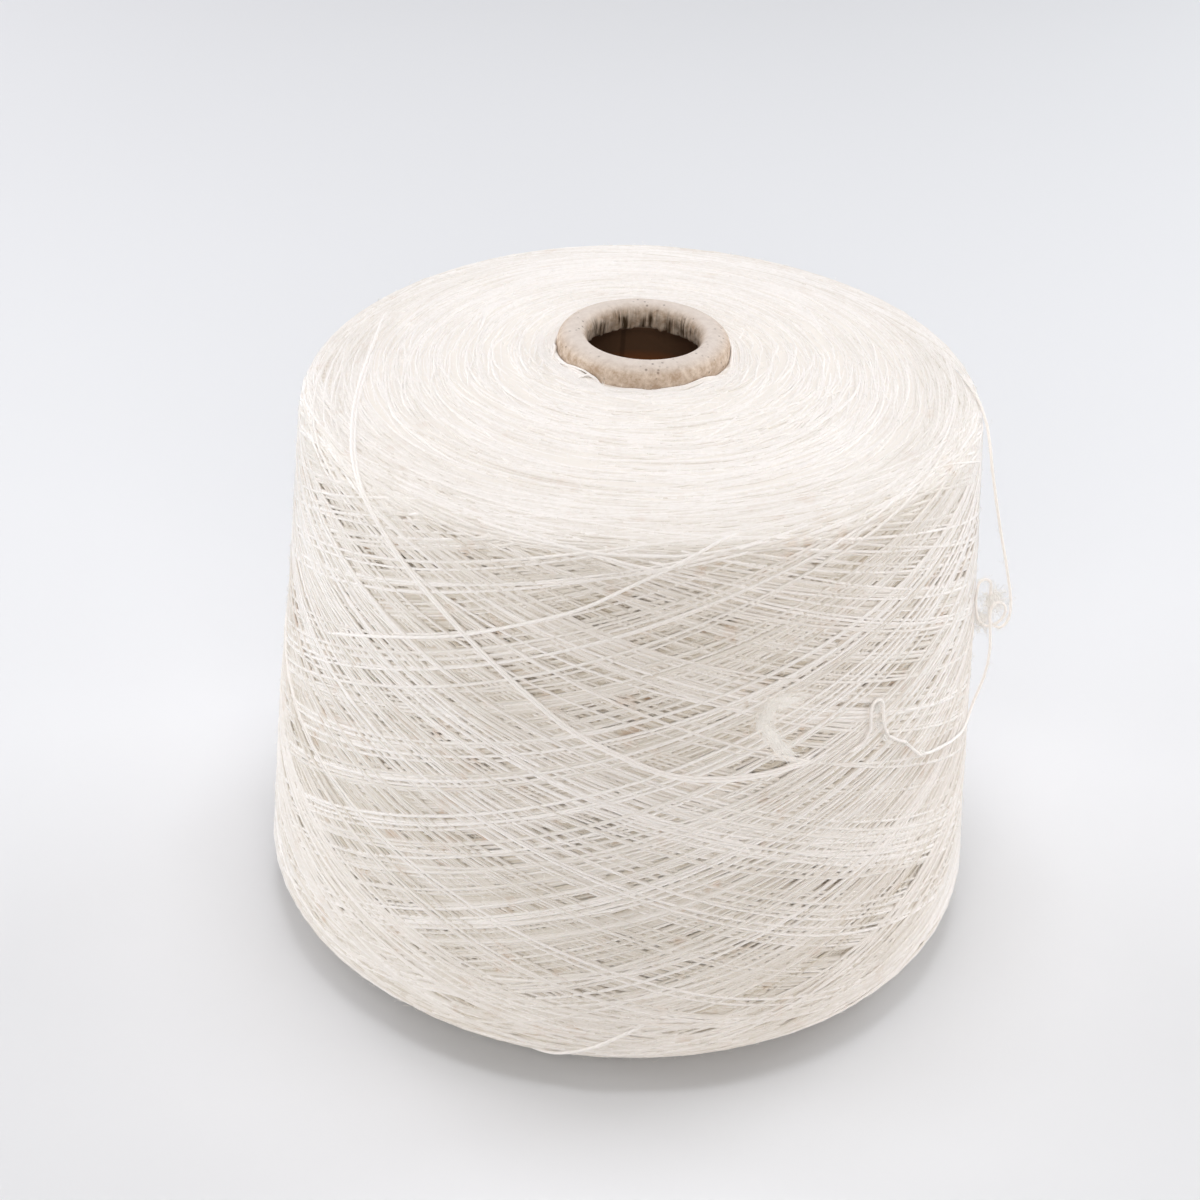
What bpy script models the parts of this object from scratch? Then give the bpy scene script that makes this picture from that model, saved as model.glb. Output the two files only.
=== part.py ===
"""Cone of yarn: a cross-wound package of undyed yarn on a tapered paper cone, with one loose end.

Metres, +Z up. The paper cone stands on its wide end at z = 0, and its axis is the Z axis.
"""

import math

import bpy
import numpy as np

# Paper cone: the standard 4 degree 20 minute taper, 169 mm tall, with a rolled-in nose.
CONE_HEIGHT = 0.169
CONE_TAPER = math.tan(math.radians(4 + 20 / 60))
NOSE_RADIUS = 0.0218
CONE_WALL = 0.003
CREST_RADIUS = 0.0171
MOUTH_RADIUS = 0.0144
CURL_HEIGHT = 0.0037
CURL_SKIRT = 0.0026
CURL_LEDGE = 0.003
CONE_SIDES = 64
CURL_STEPS = 4
WALL_STEPS = 3

# Wound yarn: a 6 inch traverse, a little less steep than the cone that it is wound on.
YARN_FOOT = 0.007
YARN_HEIGHT = 0.149
YARN_TOP_RADIUS = 0.0873
YARN_FOOT_RADIUS = 0.0966
SHOULDER_ROUND = 0.0064
HEEL_ROUND = 0.008
DOME_RISE = 0.0077
DOME_POWER = 1.35
BORE_GAP = 0.0003
YARN_SIDES = 72
DOME_STEPS = 8
CORNER_STEPS = 4
SIDE_STEPS = 40
HIDDEN_STEPS = 2

# Relief of the winding: two crossing sets of bands, with shallow diamonds between them.
BANDS = 9
BAND_SLOPE = math.tan(math.radians(21))
BAND_DEPTH = 0.0009
BAND_FADE = 0.012
OUT_OF_ROUND = 0.0004
OUT_OF_ROUND_TWIST = 40
SIDE_SHARE = 0.99

# The package's top end has sunk a little on its left side.
SINK = 0.0035
SINK_FROM = 0.100
SINK_POWER = 1.5

# Loose end: angle round the axis, height, and stand-off from the yarn's side, degrees and mm.
THREAD_DIAMETER = 0.0008
THREAD_STEPS = 2
THREAD_ROUTE = (
    (9.0, 157.0, -6.0),
    (1.0, 155.0, -1.9),
    (-5.0, 150.8, 1.0),
    (-6.9, 140.0, 2.8),
    (-7.1, 122.0, 5.8),
    (-7.5, 106.0, 9.0),
    (-7.5, 99.6, 9.6),
    (-7.4, 95.8, 8.8),
    (-7.3, 93.6, 6.9),
    (-7.1, 94.4, 4.9),
    (-7.1, 97.4, 4.0),
    (-7.4, 106.4, 4.1),
    (-7.7, 107.9, 3.7),
    (-8.1, 108.6, 2.4),
    (-8.5, 107.9, 1.1),
    (-8.7, 106.4, 0.7),
    (-8.9, 99.6, 0.7),
    (-8.8, 96.4, 1.6),
    (-8.6, 95.0, 3.6),
    (-8.5, 96.2, 6.2),
    (-8.5, 98.8, 8.0),
    (-8.6, 101.6, 8.2),
    (-9.0, 103.2, 7.0),
    (-9.4, 103.2, 5.5),
    (-9.7, 101.6, 4.6),
    (-9.9, 97.4, 4.6),
    (-9.9, 90.0, 5.1),
    (-9.2, 80.0, 4.1),
    (-9.5, 71.6, 1.7),
    (-13.0, 68.8, 0.7),
    (-19.5, 71.6, 0.7),
    (-29.0, 76.8, 0.7),
    (-35.8, 80.6, 0.7),
    (-40.0, 87.6, 0.7),
    (-44.2, 92.4, 0.7),
    (-45.6, 98.0, 0.7),
    (-45.8, 102.6, 0.7),
    (-46.5, 104.3, 0.7),
    (-47.7, 104.3, 0.7),
    (-48.4, 102.4, 0.7),
    (-48.3, 97.2, 0.7),
    (-49.8, 93.8, 0.7),
    (-54.0, 92.6, 0.7),
)


def clear_scene():
    for obj in list(bpy.data.objects):
        bpy.data.objects.remove(obj)


def new_collection(name):
    collection = bpy.data.collections.new(name)
    bpy.context.scene.collection.children.link(collection)
    return collection


def new_material(name, color, roughness):
    material = bpy.data.materials.new(name)
    material.use_nodes = True
    shader = material.node_tree.nodes["Principled BSDF"]
    shader.inputs["Base Color"].default_value = (*color, 1.0)
    shader.inputs["Roughness"].default_value = roughness
    shader.inputs["Metallic"].default_value = 0.0
    return material


def cone_radius(height):
    """Outer radius of the paper cone's straight wall."""
    return NOSE_RADIUS + (CONE_HEIGHT - height) * CONE_TAPER


def side_radius(height):
    """Radius of the wound yarn's straight side, continued past its rounded corners."""
    share = (height - YARN_FOOT) / YARN_HEIGHT
    return YARN_FOOT_RADIUS + (YARN_TOP_RADIUS - YARN_FOOT_RADIUS) * share


def out_of_round(angle, height):
    """The winding's slight unevenness: a flattened round, and three low swells that lean with height."""
    flattening = math.sin(2 * angle + 1)
    swelling = math.sin(3 * angle - OUT_OF_ROUND_TWIST * height)
    return OUT_OF_ROUND * (flattening + swelling)


def sinking(angle, height):
    """How far the package's outside has sunk: most at its top and towards -X, and nothing on the right half."""
    share = min(max((height - SINK_FROM) / (YARN_FOOT + YARN_HEIGHT - SINK_FROM), 0), 1)
    return SINK * share**2 * max(-math.cos(angle), 0) ** SINK_POWER


def arc(center, across, upright, start, stop, steps):
    """Points of a round or oval arc, with angles in degrees from +X."""
    angles = np.radians(np.linspace(start, stop, steps + 1))
    return [(center[0] + across * math.cos(a), center[1] + upright * math.sin(a)) for a in angles]


def straight(start, stop, steps):
    """Points between two ends, without the ends themselves."""
    return [tuple(p) for p in np.linspace(start, stop, steps + 1)[1:-1]]


def cone_profile():
    """The paper cone's wall: over the rolled nose, down the outside, and back up the inside."""
    middle = (CREST_RADIUS, CONE_HEIGHT - CURL_HEIGHT)
    skirt_end = middle[1] - CURL_SKIRT
    ledge_end = skirt_end - CURL_LEDGE
    curl = arc(middle, CREST_RADIUS - MOUTH_RADIUS, CURL_HEIGHT, 180, 90, CURL_STEPS)
    curl += arc(middle, cone_radius(middle[1]) - CREST_RADIUS, CURL_HEIGHT, 90, 0, CURL_STEPS)[1:]
    foot = [(cone_radius(0), 0), (cone_radius(0) - CONE_WALL, 0)]
    inside = [(cone_radius(ledge_end) - CONE_WALL, ledge_end), (curl[0][0], skirt_end)]
    outer_wall = straight(curl[-1], foot[0], WALL_STEPS)
    inner_wall = straight(foot[1], inside[0], WALL_STEPS)
    return curl + outer_wall + foot + inner_wall + inside


def yarn_profile():
    """The wound yarn's section: over the domed top, down the side, and back up the bore."""
    shoulder = YARN_FOOT + YARN_HEIGHT
    dome_top = shoulder + DOME_RISE
    shoulder_middle = (side_radius(shoulder) - SHOULDER_ROUND, shoulder - SHOULDER_ROUND)
    heel_middle = (side_radius(YARN_FOOT) - HEEL_ROUND, YARN_FOOT + HEEL_ROUND)
    bore_top = (cone_radius(dome_top) + BORE_GAP, dome_top)
    bore_foot = (cone_radius(YARN_FOOT) + BORE_GAP, YARN_FOOT)
    dome = []
    for share in np.arange(DOME_STEPS) / DOME_STEPS:
        radius = bore_top[0] + (shoulder_middle[0] - bore_top[0]) * share
        dome.append((radius, shoulder + DOME_RISE * (1 - share**DOME_POWER)))
    shoulder_arc = arc(shoulder_middle, SHOULDER_ROUND, SHOULDER_ROUND, 90, 0, CORNER_STEPS)
    heel_arc = arc(heel_middle, HEEL_ROUND, HEEL_ROUND, 0, -90, CORNER_STEPS)
    side = straight(shoulder_arc[-1], heel_arc[0], SIDE_STEPS)
    underside = straight(heel_arc[-1], bore_foot, HIDDEN_STEPS)
    bore = straight(bore_foot, bore_top, HIDDEN_STEPS)
    return dome + shoulder_arc + side + heel_arc + underside + [bore_foot] + bore


def turned(name, profile, sides, collection):
    """A closed outline turned once round Z by a Screw modifier."""
    edges = [(i, (i + 1) % len(profile)) for i in range(len(profile))]
    mesh = bpy.data.meshes.new(name)
    mesh.from_pydata([(x, 0, z) for x, z in profile], edges, [])
    obj = bpy.data.objects.new(name, mesh)
    collection.objects.link(obj)
    screw = obj.modifiers.new("Turn", "SCREW")
    screw.steps = sides
    screw.render_steps = sides
    screw.use_merge_vertices = True
    screw.merge_threshold = 0.0001
    return obj


def band_relief(angle, height):
    """How far the surface sinks between the crossing bands, and nothing near the two corners."""
    climb = BANDS * height / (BAND_SLOPE * side_radius(height))
    crest = max(math.cos(BANDS * angle + climb), math.cos(BANDS * angle - climb))
    above_heel = height - YARN_FOOT - HEEL_ROUND
    below_shoulder = YARN_FOOT + YARN_HEIGHT - SHOULDER_ROUND - height
    fade = min(max(min(above_heel, below_shoulder) / BAND_FADE, 0), 1)
    return -BAND_DEPTH * fade * (1 - crest) / 2


def wind_relief(obj):
    """Makes the turned yarn a mesh, then moves its side by the bands and its outside out of round."""
    graph = bpy.context.evaluated_depsgraph_get()
    mesh = bpy.data.meshes.new_from_object(obj.evaluated_get(graph))
    obj.modifiers.clear()
    obj.data = mesh
    for vertex in mesh.vertices:
        x, y, z = vertex.co
        radius = math.hypot(x, y)
        angle = math.atan2(y, x)
        bore = cone_radius(z) + BORE_GAP
        outness = max(radius - bore, 0) / (side_radius(z) - bore)
        moved = radius + outness * out_of_round(angle, z)
        if outness > SIDE_SHARE:
            moved += band_relief(angle, z)
        vertex.co.x = x * moved / radius
        vertex.co.y = y * moved / radius
        vertex.co.z = z - outness * sinking(angle, z)


def thread_point(degrees, height_mm, off_mm):
    """A point of the loose end, from its angle, height and stand-off from the yarn's side."""
    angle = math.radians(degrees)
    height = height_mm / 1000
    radius = side_radius(height) + out_of_round(angle, height) + off_mm / 1000
    return np.array((radius * math.cos(angle), radius * math.sin(angle), height))


def slope_at(before, here, after):
    """Direction of the curve at a point, from the spans on both sides, the shorter counting more."""
    back = np.linalg.norm(here - before)
    ahead = np.linalg.norm(after - here)
    return ((here - before) / back * ahead + (after - here) / ahead * back) / (back + ahead)


def smooth_route(points, steps):
    """Points along a smooth curve through each given point."""
    before_first = 2 * points[0] - points[1]
    after_last = 2 * points[-1] - points[-2]
    slopes = [slope_at(*three) for three in zip([before_first, *points], points, [*points[1:], after_last])]
    route = []
    for start, stop, leaving, arriving in zip(points, points[1:], slopes, slopes[1:]):
        chord = stop - start
        span = np.linalg.norm(chord)
        bend = 3 * chord - span * (2 * leaving + arriving)
        turn = span * (leaving + arriving) - 2 * chord
        route += [start + t * (span * leaving + t * (bend + t * turn)) for t in np.arange(steps) / steps]
    return [*route, points[-1]]


def thread(name, route, diameter, collection):
    """A round thread along a route, with closed ends."""
    curve = bpy.data.curves.new(name, "CURVE")
    curve.dimensions = "3D"
    curve.bevel_depth = diameter / 2
    curve.bevel_resolution = 2
    curve.use_fill_caps = True
    spline = curve.splines.new("POLY")
    spline.points.add(len(route) - 1)
    for point, place in zip(spline.points, route):
        point.co = (*place, 1)
    obj = bpy.data.objects.new(name, curve)
    collection.objects.link(obj)
    return obj


def main():
    clear_scene()
    parts = new_collection("cone_of_yarn")

    board = new_material("grey paper board", (0.58, 0.46, 0.36), 0.85)
    paper_cone = turned("paper_cone", cone_profile(), CONE_SIDES, parts)
    paper_cone.data.materials.append(board)

    cotton = new_material("undyed yarn", (0.86, 0.80, 0.74), 0.9)
    yarn_package = turned("yarn_package", yarn_profile(), YARN_SIDES, parts)
    wind_relief(yarn_package)
    yarn_package.data.materials.append(cotton)

    points = [thread_point(*row) for row in THREAD_ROUTE]
    route = smooth_route(points, THREAD_STEPS)
    loose_end = thread("loose_end", route, THREAD_DIAMETER, parts)
    loose_end.data.materials.append(cotton)


main()
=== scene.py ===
import math

import bmesh
import bpy
import numpy as np
from mathutils import Matrix


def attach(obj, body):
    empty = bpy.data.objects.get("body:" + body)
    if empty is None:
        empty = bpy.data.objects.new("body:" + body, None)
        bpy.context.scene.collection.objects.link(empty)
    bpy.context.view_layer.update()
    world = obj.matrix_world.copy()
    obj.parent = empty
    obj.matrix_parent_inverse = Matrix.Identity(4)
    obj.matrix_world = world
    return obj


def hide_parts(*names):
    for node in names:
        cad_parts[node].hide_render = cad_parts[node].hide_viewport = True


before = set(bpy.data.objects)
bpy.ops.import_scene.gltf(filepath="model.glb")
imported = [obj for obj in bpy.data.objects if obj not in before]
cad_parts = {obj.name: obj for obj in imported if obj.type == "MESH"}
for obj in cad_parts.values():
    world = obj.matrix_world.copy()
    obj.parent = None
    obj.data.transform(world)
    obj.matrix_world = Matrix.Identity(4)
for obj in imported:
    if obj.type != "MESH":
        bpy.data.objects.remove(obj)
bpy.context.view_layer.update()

# ---------------------------------------------------------------------------
# Camera: a little above the cone and square to its front, turned a few degrees
# about its own line of sight, with a 26 degree view across the square frame.

CAMERA_PLACE = (0.0, -0.597866, 0.457040)
CAMERA_RIGHT = (0.99854052, 0.03750801, 0.03885833)
CAMERA_UP = (-0.05276498, 0.52407362, 0.85003688)
CAMERA_BACK = (0.01151856, -0.85084663, 0.52528785)

camera = bpy.data.objects.new("camera", bpy.data.cameras.new("camera"))
camera.data.sensor_fit = "HORIZONTAL"
camera.data.angle = math.radians(26)
camera.matrix_world = Matrix((*zip(CAMERA_RIGHT, CAMERA_UP, CAMERA_BACK, CAMERA_PLACE), (0, 0, 0, 1)))
bpy.context.scene.collection.objects.link(camera)
bpy.context.scene.camera = camera

# ---------------------------------------------------------------------------
# Loose end: undyed two-ply cotton yarn, 0.8 mm thick. It leaves from under the
# shoulder's last turns, hangs down the side in a small tangle of loops, lies
# across the front, stands up in one narrow loop and goes back under a turn.

MM = 0.001
YARN_DIAMETER = 0.8 * MM
FOOT_HEIGHT = 7 * MM
YARN_HEIGHT = 149 * MM
SHOULDER_HEIGHT = FOOT_HEIGHT + YARN_HEIGHT
YARN_TOP_RADIUS = 87.3 * MM
YARN_FOOT_RADIUS = 96.6 * MM
OUT_OF_ROUND = 0.4 * MM
OUT_OF_ROUND_TWIST = 40

# angle round the axis in degrees, height and stand-off from the yarn's side in millimetres
LOOSE_END = (
    (9.0, 157.0, -6.0), (1.0, 155.0, -1.9), (-5.0, 150.8, 1.0), (-6.9, 140.0, 2.8), (-7.1, 122.0, 5.8),
    (-7.5, 106.0, 9.0), (-7.5, 99.6, 9.6), (-7.4, 95.8, 8.8), (-7.3, 93.6, 6.9), (-7.1, 94.4, 4.9),
    (-7.1, 97.4, 4.0), (-7.4, 106.4, 4.1), (-7.7, 107.9, 3.7), (-8.1, 108.6, 2.4), (-8.5, 107.9, 1.1),
    (-8.7, 106.4, 0.7), (-8.9, 99.6, 0.7), (-8.8, 96.4, 1.6), (-8.6, 95.0, 3.6), (-8.5, 96.2, 6.2),
    (-8.5, 98.8, 8.0), (-8.6, 101.6, 8.2), (-9.0, 103.2, 7.0), (-9.4, 103.2, 5.5), (-9.7, 101.6, 4.6),
    (-9.9, 97.4, 4.6), (-9.9, 90.0, 5.1), (-9.2, 80.0, 4.1), (-9.5, 71.6, 1.7), (-13.0, 68.8, 0.7),
    (-19.5, 71.6, 0.7), (-29.0, 76.8, 0.7), (-35.8, 80.6, 0.7), (-40.0, 87.6, 0.7), (-44.2, 92.4, 0.7),
    (-45.6, 98.0, 0.7), (-45.8, 102.6, 0.7), (-46.5, 104.3, 0.7), (-47.7, 104.3, 0.7), (-48.4, 102.4, 0.7),
    (-48.3, 97.2, 0.7), (-49.8, 93.8, 0.7), (-54.0, 92.6, 0.7),
)


def side_radius(height):
    """Radius of the wound yarn's straight side, continued past its rounded corners."""
    share = (height - FOOT_HEIGHT) / YARN_HEIGHT
    return YARN_FOOT_RADIUS + (YARN_TOP_RADIUS - YARN_FOOT_RADIUS) * share


def out_of_round(angle, height):
    """The winding's slight unevenness: a flattened round, and three low swells that lean with height."""
    return OUT_OF_ROUND * (np.sin(2 * angle + 1) + np.sin(3 * angle - OUT_OF_ROUND_TWIST * height))


def side_points(rows):
    """Points from rows of an angle in degrees, a height and a stand-off from the side in millimetres."""
    degrees, height, off = np.array(rows, float).T
    angle, height = np.radians(degrees), height * MM
    radius = side_radius(height) + out_of_round(angle, height) + off * MM
    return np.stack((radius * np.cos(angle), radius * np.sin(angle), height), 1)


def smooth_route(points, steps):
    """Points along a smooth curve through each given point, as in the part's source."""
    ends = np.concatenate(([2 * points[0] - points[1]], points, [2 * points[-1] - points[-2]]))
    chords = np.diff(ends, axis=0)
    spans = np.linalg.norm(chords, axis=1)[:, None]
    way = chords / spans
    slopes = (way[:-1] * spans[1:] + way[1:] * spans[:-1]) / (spans[:-1] + spans[1:])
    route = []
    for start, chord, span, leaving, arriving in zip(points, chords[1:], spans[1:], slopes, slopes[1:]):
        bend = 3 * chord - span * (2 * leaving + arriving)
        turn = span * (leaving + arriving) - 2 * chord
        route += [start + t * (span * leaving + t * (bend + t * turn)) for t in np.arange(steps) / steps]
    return np.array([*route, points[-1]])


def laid_yarn(name, routes, diameter, shades, resolution=0):
    """One mesh of yarn laid along many routes: each is a round tube that comes to a point at both ends.

    Two attributes serve its material: how far along its own yarn a point is, and the yarn's own shade, which in places
    also holds painted shade.
    """
    line = bpy.data.curves.new(name, "CURVE")
    line.dimensions = "3D"
    line.bevel_depth = 0.5
    line.bevel_resolution = resolution
    thicknesses = np.broadcast_to(diameter, len(routes))
    lengths, own_shades = [], []
    for route, thickness, shade in zip(routes, thicknesses, shades):
        spline = line.splines.new("POLY")
        spline.points.add(len(route) - 1)
        spline.points.foreach_set("co", np.column_stack((route, np.ones(len(route)))).ravel())
        radii = np.full(len(route), thickness)
        radii[[0, -1]] = 0
        spline.points.foreach_set("radius", radii)
        steps = np.linalg.norm(np.diff(route, axis=0), axis=1)
        lengths.append(np.concatenate(([0], np.cumsum(steps))))
        own_shades.append(np.full(len(route), shade))
    holder = bpy.data.objects.new(name, line)
    bpy.context.scene.collection.objects.link(holder)
    mesh = bpy.data.meshes.new_from_object(holder)
    bpy.data.objects.remove(holder)
    bpy.data.curves.remove(line)
    sides = 4 + 2 * resolution
    for attribute, values in (("along", lengths), ("shade", own_shades)):
        layer = mesh.attributes.new(attribute, "FLOAT", "POINT")
        layer.data.foreach_set("value", np.repeat(np.concatenate(values), sides))
    shape = bmesh.new()
    shape.from_mesh(mesh)
    bmesh.ops.remove_doubles(shape, verts=shape.verts, dist=1e-7)
    bmesh.ops.recalc_face_normals(shape, faces=shape.faces)
    shape.to_mesh(mesh)
    shape.free()
    mesh.name = name
    piece = bpy.data.objects.new(name, mesh)
    bpy.context.scene.collection.objects.link(piece)
    return piece


def linear(hex_colour):
    """An sRGB hex colour as the linear colour that a shader takes."""
    parts = [int(hex_colour[i:i + 2], 16) / 255 for i in (1, 3, 5)]
    return (*[p / 12.92 if p <= 0.04045 else ((p + 0.055) / 1.055) ** 2.4 for p in parts], 1)


def add_node(tree, kind, settings, links):
    """Adds a node: settings are its properties and its sockets' values, links are sockets and what feeds them."""
    node = tree.nodes.new(kind)
    for name, value in settings.items():
        if isinstance(name, str) and name in node.bl_rna.properties:
            setattr(node, name, value)
        else:
            node.inputs[name].default_value = value
    for name, source in links.items():
        tree.links.new(source, node.inputs[name])
    return node


# Undyed ring-spun cotton, two plies: creamy white and matt, with a soft sheen at the rim from loose
# fibre. The plies show as slanting grooves 2.4 mm apart along each yarn, painted a little darker in the grooves as
# painted shade. No two yarns are one shade, and the dullest ones have a few rusty patches of seed fibre.
PLY_TWIST = 2.4 * MM
PLIES = 2
cotton = bpy.data.materials.new("undyed_cotton_yarn")
cotton.use_nodes = True
tree = cotton.node_tree
along = add_node(tree, "ShaderNodeAttribute", {"attribute_name": "along"}, {}).outputs["Fac"]
own_shade = add_node(tree, "ShaderNodeAttribute", {"attribute_name": "shade"}, {}).outputs["Fac"]
around = add_node(tree, "ShaderNodeUVMap", {}, {}).outputs["UV"]
place = add_node(tree, "ShaderNodeTexCoord", {}, {}).outputs["Object"]
around = add_node(tree, "ShaderNodeSeparateXYZ", {}, {"Vector": around}).outputs["Y"]
turns = add_node(tree, "ShaderNodeMath", {"operation": "DIVIDE", 1: PLY_TWIST / (2 * math.pi)}, {0: along})
slant = add_node(
    tree, "ShaderNodeMath", {"operation": "MULTIPLY_ADD", 1: 2 * math.pi * PLIES}, {0: around, 2: turns.outputs[0]})
groove = add_node(tree, "ShaderNodeMath", {"operation": "SINE"}, {0: slant.outputs[0]}).outputs[0]
mottle = add_node(tree, "ShaderNodeTexNoise", {"Scale": 900.0, "Detail": 3.0}, {"Vector": place}).outputs["Fac"]
patches = add_node(tree, "ShaderNodeTexNoise", {"Scale": 40.0, "Detail": 2.0}, {"Vector": place}).outputs["Fac"]
spread = add_node(tree, "ShaderNodeMath", {"operation": "MULTIPLY_ADD", 1: 0.4, 2: -0.2}, {0: patches})
lightness = add_node(
    tree, "ShaderNodeMath", {"operation": "ADD", "use_clamp": True}, {0: own_shade, 1: spread.outputs[0]})
yarn_colour = add_node(
    tree, "ShaderNodeMix", {"data_type": "RGBA", 6: linear("#D2C7B6"), 7: linear("#FCF6F1")}, {0: lightness.outputs[0]})
seedy = add_node(tree, "ShaderNodeTexNoise", {"Scale": 150.0, "Detail": 2.0}, {"Vector": place}).outputs["Fac"]
seedy = add_node(
    tree, "ShaderNodeMapRange", {"From Min": 0.6, "From Max": 0.72, "To Max": 0.5}, {"Value": seedy}).outputs[0]
dullness = add_node(tree, "ShaderNodeMath", {"operation": "SUBTRACT", 0: 1.0}, {1: lightness.outputs[0]}).outputs[0]
seedy = add_node(tree, "ShaderNodeMath", {"operation": "MULTIPLY"}, {0: seedy, 1: dullness}).outputs[0]
yarn_colour = add_node(
    tree, "ShaderNodeMix", {"data_type": "RGBA", 7: linear("#CFA98A")}, {0: seedy, 6: yarn_colour.outputs[2]})
# painted shade: the colour is darkened a little in each ply groove
groove_painted_shade = add_node(
    tree, "ShaderNodeMapRange", {"From Min": -1.0, "From Max": -0.2, "To Min": 0.08, "To Max": 0.0}, {"Value": groove})
groove_shaded_colour = add_node(
    tree, "ShaderNodeMix", {"data_type": "RGBA", 7: linear("#CDBDAA")},
    {0: groove_painted_shade.outputs[0], 6: yarn_colour.outputs[2]})
relief = add_node(tree, "ShaderNodeMath", {"operation": "MULTIPLY_ADD", 1: 0.6}, {0: mottle, 2: groove})
bump = add_node(tree, "ShaderNodeBump", {"Strength": 0.15, "Distance": 0.12 * MM}, {"Height": relief.outputs[0]})
shader = tree.nodes["Principled BSDF"]
shader.inputs["Roughness"].default_value = 0.85
shader.inputs["Specular IOR Level"].default_value = 0.25
shader.inputs["Sheen Weight"].default_value = 0.75
shader.inputs["Sheen Roughness"].default_value = 0.5
tree.links.new(groove_shaded_colour.outputs[2], shader.inputs["Base Color"])
tree.links.new(bump.outputs["Normal"], shader.inputs["Normal"])

loose_route = smooth_route(side_points(LOOSE_END), 2)
loose_end = laid_yarn("loose_yarn_end", [loose_route], YARN_DIAMETER, [1.0], 2)
loose_end.data.materials.append(cotton)
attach(loose_end, "root")
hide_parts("loose_end")


# Loose cotton fibre: single hairs, not pressed together, so they look paler than the yarn that they come from.
fibre = bpy.data.materials.new("loose_cotton_fibre")
fibre.use_nodes = True
tree = fibre.node_tree
place = add_node(tree, "ShaderNodeTexCoord", {}, {}).outputs["Object"]
waxy = add_node(tree, "ShaderNodeTexNoise", {"Scale": 700.0, "Detail": 2.0}, {"Vector": place}).outputs["Fac"]
fibre_colour = add_node(
    tree, "ShaderNodeMix", {"data_type": "RGBA", 6: linear("#F0ECE6"), 7: linear("#F8F5F1")}, {0: waxy})
shader = tree.nodes["Principled BSDF"]
shader.inputs["Roughness"].default_value = 0.6
shader.inputs["Specular IOR Level"].default_value = 0.4
shader.inputs["Sheen Weight"].default_value = 0.5
shader.inputs["Sheen Roughness"].default_value = 0.5
tree.links.new(fibre_colour.outputs[2], shader.inputs["Base Color"])


def fibres(places, outward, reach, curl, chance):
    """Short curved fibre routes that start at places and stand off along outward, each its own way."""
    share = np.linspace(0, 1, 3)[:, None]
    routes = []
    for start, out in zip(places, outward):
        drift = chance.normal(0, 1, 3)
        drift -= out * drift.dot(out)
        bend = chance.normal(0, 1, 3) * curl
        routes.append(start + reach * chance.uniform(0.4, 1) * (
            drift * share * 0.8 + out * np.sin(share * 2.2) * 0.35 + bend * share * (1 - share)))
    return routes


def tangle(place, reach, count, chance):
    """A few tight turns of yarn about a place, all of them different."""
    routes = []
    for _ in range(count):
        sweep = np.linspace(0, chance.uniform(4.5, 7.5), 16)
        tilt, lean = chance.uniform(0, math.pi, 2)
        flat = np.stack((np.cos(sweep), np.sin(sweep) * math.cos(tilt), np.sin(sweep) * math.sin(tilt)), 1)
        turned = flat @ np.array(Matrix.Rotation(lean, 3, "Z"))
        size = reach * chance.uniform(0.35, 1) * (0.8 + 0.2 * np.sin(2 * sweep))[:, None]
        routes.append(place + turned * size * (0.8, 0.8, 1.2))
    return routes


# The snarls where the hanging yarn has caught on itself, and the loose fibre all along it: the place of
# each snarl (angle, height, stand-off), its reach in millimetres and how many turns and fibres are in it.
SNARLS = (
    ((-7.3, 101.9, 5.0), 2.9, 9, 500), ((-7.9, 96.0, 2.2), 2.4, 7, 350), ((-35.3, 80.8, 0.9), 1.1, 2, 110),
    ((-40.0, 87.4, 0.9), 1.0, 0, 60), ((-45.3, 92.6, 0.9), 1.1, 2, 110), ((-47.0, 98.0, 0.8), 1.3, 0, 130),
    ((-47.2, 102.3, 0.8), 1.2, 0, 130),
)
SNARL_YARN_THICKNESS = 0.45 * MM
SNARL_FIBRE_THICKNESS = 0.12 * MM
chance = np.random.default_rng(11)
snarl_routes, snarl_thicknesses = [], []
for place, reach, turn_count, fibre_count in SNARLS:
    middle = side_points([place])[0]
    snarl_routes += tangle(middle, reach * MM, turn_count, chance)
    snarl_thicknesses += [SNARL_YARN_THICKNESS] * turn_count
    starts = middle + chance.normal(0, 0.4 * reach, (fibre_count, 3)) * MM
    ways = chance.normal(0, 1, (fibre_count, 3))
    ways /= np.linalg.norm(ways, axis=1)[:, None]
    snarl_routes += fibres(starts, ways, 1.2 * reach * MM, 1.2, chance)
    snarl_thicknesses += [SNARL_FIBRE_THICKNESS] * fibre_count
HAIR_COUNT = 1400
HAIR_SPREAD = 0.35
HAIR_REACH = 1.3 * MM
HAIR_THICKNESS = 0.08 * MM
hair_starts = loose_route[chance.integers(4, len(loose_route) - 2, HAIR_COUNT)]
hair_starts = hair_starts + chance.normal(0, HAIR_SPREAD, (HAIR_COUNT, 3)) * MM
hair_ways = chance.normal(0, 1, (HAIR_COUNT, 3))
hair_ways /= np.linalg.norm(hair_ways, axis=1)[:, None]
snarl_routes += fibres(hair_starts, hair_ways, HAIR_REACH, 0.8, chance)
snarl_thicknesses += [HAIR_THICKNESS] * HAIR_COUNT
snarl = laid_yarn("yarn_snarls", snarl_routes, np.array(snarl_thicknesses), np.full(len(snarl_routes), 1.1))
snarl.data.materials.append(fibre)
snarl.visible_shadow = False  # light goes through single fibres, so they shade nothing
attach(snarl, "root")

# ---------------------------------------------------------------------------
# Inner winding: the body of yarn under the last turns, pressed firm by them. It
# shows only in the slits between the turns, painted a darker, warmer tan there as
# painted shade, and is the package's own form, turned a little under its size.

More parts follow.
